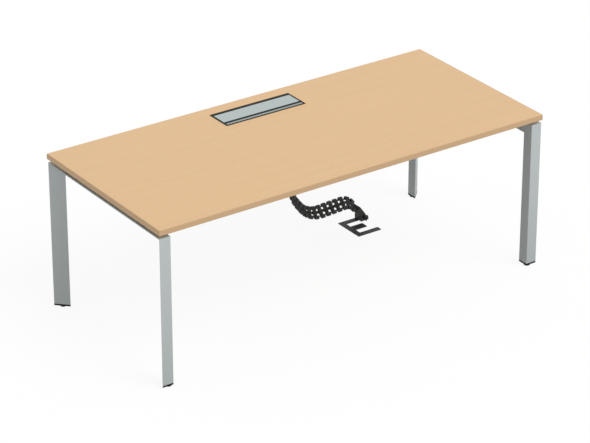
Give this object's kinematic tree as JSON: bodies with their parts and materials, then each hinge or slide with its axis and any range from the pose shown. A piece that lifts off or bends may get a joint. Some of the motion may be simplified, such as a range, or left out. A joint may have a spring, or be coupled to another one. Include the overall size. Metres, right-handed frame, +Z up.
{
  "type": "office desk",
  "caption": "Rectangular wood-effect office desk on silver goalpost end frames of triangular tube, with a hinged cable hatch, a cable tray and a jointed cable spine down to a floor plate.",
  "frame": {"origin": "on the floor under the middle of the worktop", "axes": "+X along the worktop's length, +Y to the back of the desk, where the cable hatch is, +Z up"},
  "size_m": [2, 0.9, 0.7418],
  "materials": {
    "laminate": "satin beech-effect laminate",
    "edging": "matt beech-effect edging strip",
    "silver_paint": "silver powder coat",
    "aluminium": "satin anodised",
    "zinc_steel": "zinc plated",
    "black_steel": "black powder coat",
    "black_plastic": "black moulded plastic",
    "rubber": "matt black rubber"
  },
  "bodies": {
    "desk": {"worktop": "laminate", "edging_front": "edging", "edging_back": "edging", "edging_left": "edging", "edging_right": "edging", "leg_front_left": "silver_paint", "foot_cap_front_left": "black_plastic", "spacer_front_left": "black_plastic", "leg_front_right": "silver_paint", "foot_cap_front_right": "black_plastic", "spacer_front_right": "black_plastic", "leg_rear_left": "silver_paint", "foot_cap_rear_left": "black_plastic", "spacer_rear_left": "black_plastic", "leg_rear_right": "silver_paint", "foot_cap_rear_right": "black_plastic", "spacer_rear_right": "black_plastic", "end_beam_left": "silver_paint", "end_beam_right": "silver_paint", "rail_front": "silver_paint", "rail_rear": "silver_paint", "hatch_frame": "black_plastic", "hatch_strip": "aluminium", "hatch_hinge_rod": "zinc_steel", "hatch_seal": "rubber", "cable_tray": "black_steel", "spine_top_clip": "black_plastic"},
    "lid": {"hatch_lid": "aluminium"},
    "glide_front_left": {"glide_front_left": "black_plastic"},
    "glide_front_right": {"glide_front_right": "black_plastic"},
    "glide_rear_left": {"glide_rear_left": "black_plastic"},
    "glide_rear_right": {"glide_rear_right": "black_plastic"},
    "link_01": {"spine_link_01": "black_plastic"},
    "link_02": {"spine_link_02": "black_plastic"},
    "link_03": {"spine_link_03": "black_plastic"},
    "link_04": {"spine_link_04": "black_plastic"},
    "link_05": {"spine_link_05": "black_plastic"},
    "link_06": {"spine_link_06": "black_plastic"},
    "link_07": {"spine_link_07": "black_plastic"},
    "link_08": {"spine_link_08": "black_plastic"},
    "link_09": {"spine_link_09": "black_plastic"},
    "link_10": {"spine_link_10": "black_plastic"},
    "link_11": {"spine_link_11": "black_plastic"},
    "link_12": {"spine_link_12": "black_plastic"},
    "link_13": {"spine_link_13": "black_plastic"},
    "link_14": {"spine_link_14": "black_plastic"},
    "link_15": {"spine_link_15": "black_plastic"},
    "link_16": {"spine_link_16": "black_plastic"},
    "link_17": {"spine_link_17": "black_plastic"},
    "link_18": {"spine_link_18": "black_plastic"},
    "link_19": {"spine_link_19": "black_plastic"},
    "link_20": {"spine_link_20": "black_plastic"},
    "link_21": {"spine_link_21": "black_plastic"},
    "link_22": {"spine_link_22": "black_plastic"},
    "link_23": {"spine_link_23": "black_plastic"},
    "link_24": {"spine_link_24": "black_plastic"},
    "spine_base": {"spine_foot": "black_plastic", "floor_plate": "black_steel"},
    "knob": {"clamp_knob": "black_plastic"}
  },
  "joints": [
    {"name": "lid_hinge", "type": "hinge", "parent": "desk", "child": "lid", "pos_m": [0, 0.3625, 0.7378], "axis": [-1, 0, 0], "range_deg": [0, 100]},
    {"name": "glide_front_left_screw", "type": "slide", "parent": "desk", "child": "glide_front_left", "axis": [0, 0, -1], "range_m": [0, 0.015]},
    {"name": "glide_front_right_screw", "type": "slide", "parent": "desk", "child": "glide_front_right", "axis": [0, 0, -1], "range_m": [0, 0.015]},
    {"name": "glide_rear_left_screw", "type": "slide", "parent": "desk", "child": "glide_rear_left", "axis": [0, 0, -1], "range_m": [0, 0.015]},
    {"name": "glide_rear_right_screw", "type": "slide", "parent": "desk", "child": "glide_rear_right", "axis": [0, 0, -1], "range_m": [0, 0.015]},
    {"name": "spine_pivot_01", "type": "hinge", "parent": "desk", "child": "link_01", "pos_m": [0.2108, 0.37, 0.5684], "axis": [0, -1, 0], "range_deg": [-2.57, 3.03]},
    {"name": "spine_pivot_02", "type": "hinge", "parent": "link_01", "child": "link_02", "pos_m": [0.2108, 0.37, 0.5367], "axis": [0, -1, 0], "range_deg": [-2.24, 2.54]},
    {"name": "spine_pivot_03", "type": "hinge", "parent": "link_02", "child": "link_03", "pos_m": [0.2108, 0.37, 0.505], "axis": [0, -1, 0], "range_deg": [-1.9, 2.06]},
    {"name": "spine_pivot_04", "type": "hinge", "parent": "link_03", "child": "link_04", "pos_m": [0.2108, 0.37, 0.4733], "axis": [0, -1, 0], "range_deg": [-1.56, 1.61]},
    {"name": "spine_pivot_05", "type": "hinge", "parent": "link_04", "child": "link_05", "pos_m": [0.2108, 0.37, 0.4416], "axis": [0, -1, 0], "range_deg": [-1.21, 1.17]},
    {"name": "spine_pivot_06", "type": "hinge", "parent": "link_05", "child": "link_06", "pos_m": [0.2108, 0.37, 0.4099], "axis": [0, -1, 0], "range_deg": [-0.85, 0.74]},
    {"name": "spine_pivot_07", "type": "hinge", "parent": "link_06", "child": "link_07", "pos_m": [0.2108, 0.37, 0.3782], "axis": [0, -1, 0], "range_deg": [-0.49, 0.4]},
    {"name": "spine_pivot_08", "type": "hinge", "parent": "link_07", "child": "link_08", "pos_m": [0.2108, 0.37, 0.3465], "axis": [0, 1, 0], "range_deg": [-0.4, 0.4]},
    {"name": "spine_pivot_09", "type": "hinge", "parent": "link_08", "child": "link_09", "pos_m": [0.2108, 0.37, 0.3148], "axis": [0, 1, 0], "range_deg": [-0.4, 0.52]},
    {"name": "spine_pivot_10", "type": "hinge", "parent": "link_09", "child": "link_10", "pos_m": [0.2108, 0.37, 0.2831], "axis": [0, 1, 0], "range_deg": [-0.59, 0.95]},
    {"name": "spine_pivot_11", "type": "hinge", "parent": "link_10", "child": "link_11", "pos_m": [0.21603, 0.37, 0.25183], "axis": [0, 1, 0], "range_deg": [-0.9, 1.29]},
    {"name": "spine_pivot_12", "type": "hinge", "parent": "link_11", "child": "link_12", "pos_m": [0.22635, 0.37, 0.22186], "axis": [0, 1, 0], "range_deg": [-1.15, 1.54]},
    {"name": "spine_pivot_13", "type": "hinge", "parent": "link_12", "child": "link_13", "pos_m": [0.24148, 0.37, 0.194], "axis": [0, 1, 0], "range_deg": [-1.34, 1.7]},
    {"name": "spine_pivot_14", "type": "hinge", "parent": "link_13", "child": "link_14", "pos_m": [0.26099, 0.37, 0.16902], "axis": [0, 1, 0], "range_deg": [-1.44, 1.76]},
    {"name": "spine_pivot_15", "type": "hinge", "parent": "link_14", "child": "link_15", "pos_m": [0.28051, 0.37, 0.14404], "axis": [0, 1, 0], "range_deg": [-1.54, 1.84]},
    {"name": "spine_pivot_16", "type": "hinge", "parent": "link_15", "child": "link_16", "pos_m": [0.30539, 0.37, 0.12439], "axis": [0, 1, 0], "range_deg": [-1.52, 1.79]},
    {"name": "spine_pivot_17", "type": "hinge", "parent": "link_16", "child": "link_17", "pos_m": [0.33421, 0.37, 0.11119], "axis": [0, 1, 0], "range_deg": [-1.39, 1.59]},
    {"name": "spine_pivot_18", "type": "hinge", "parent": "link_17", "child": "link_18", "pos_m": [0.36534, 0.37, 0.10519], "axis": [0, 1, 0], "range_deg": [-1.16, 1.25]},
    {"name": "spine_pivot_19", "type": "hinge", "parent": "link_18", "child": "link_19", "pos_m": [0.397, 0.37, 0.10673], "axis": [0, 1, 0], "range_deg": [-0.84, 0.79]},
    {"name": "spine_pivot_20", "type": "hinge", "parent": "link_19", "child": "link_20", "pos_m": [0.42866, 0.37, 0.10827], "axis": [0, 1, 0], "range_deg": [-0.52, 0.4]},
    {"name": "spine_pivot_21", "type": "hinge", "parent": "link_20", "child": "link_21", "pos_m": [0.46032, 0.37, 0.10981], "axis": [0, -1, 0], "range_deg": [-0.4, 0.4]},
    {"name": "spine_pivot_22", "type": "hinge", "parent": "link_21", "child": "link_22", "pos_m": [0.49199, 0.37, 0.11135], "axis": [0, -1, 0], "range_deg": [-0.4, 0.56]},
    {"name": "spine_pivot_23", "type": "hinge", "parent": "link_22", "child": "link_23", "pos_m": [0.52365, 0.37, 0.11288], "axis": [0, -1, 0], "range_deg": [-0.45, 1.02]},
    {"name": "spine_pivot_24", "type": "hinge", "parent": "link_23", "child": "link_24", "pos_m": [0.55258, 0.37, 0.09994], "axis": [0, -1, 0], "range_deg": [-0.6, 1.2]},
    {"name": "spine_pivot_25", "type": "hinge", "parent": "link_24", "child": "spine_base", "pos_m": [0.57253, 0.37, 0.0753], "axis": [0, -1, 0], "range_deg": [-0.55, 1.07]},
    {"name": "knob_turn", "type": "hinge", "parent": "spine_base", "child": "knob", "pos_m": [0.61353, 0.3275, 0.0188], "axis": [0, 0, 1], "continuous": true}
  ]
}
